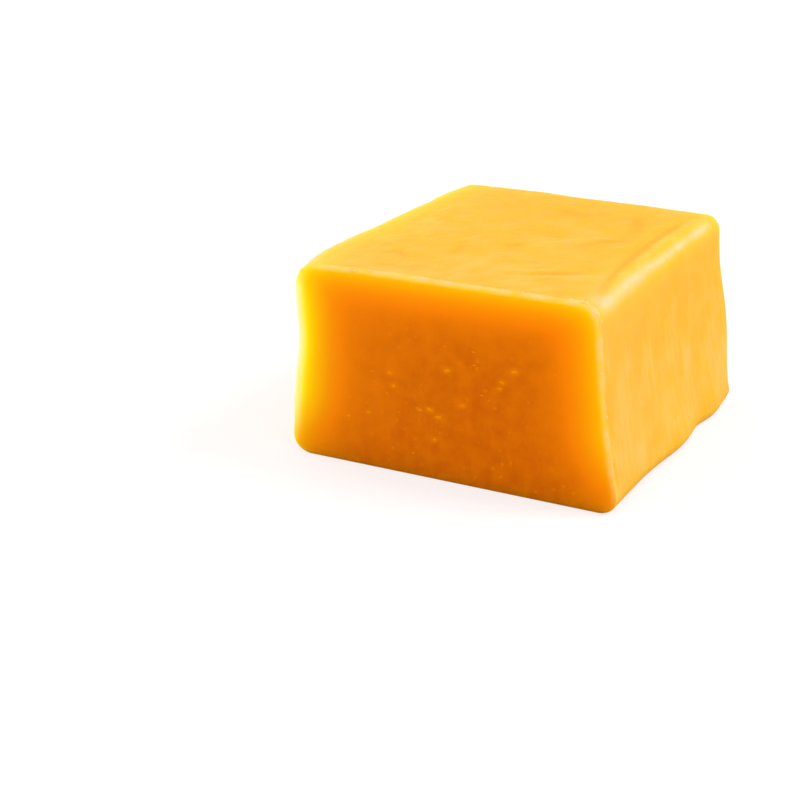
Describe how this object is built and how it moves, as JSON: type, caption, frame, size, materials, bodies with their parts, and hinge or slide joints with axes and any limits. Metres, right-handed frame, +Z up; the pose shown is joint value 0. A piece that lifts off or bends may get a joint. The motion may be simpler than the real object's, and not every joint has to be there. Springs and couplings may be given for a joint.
{
  "type": "butter cheese block",
  "caption": "Block of mild yellow semi-soft cheese with rounded loaf edges and one flat freshly cut face, lying on its base.",
  "frame": {"origin": "the middle of the block's bounding box, at the level of the base it lies on", "axes": "+Z up through the loaf's top, -Y out of the fresh cut face, +Y along the loaf, +X to the right of the cut face"},
  "size_m": [0.0902, 0.098, 0.0514],
  "materials": {
    "cheese": "satin, slightly waxy and translucent"
  },
  "bodies": {
    "root": {"cheese_block": "cheese"}
  },
  "joints": []
}
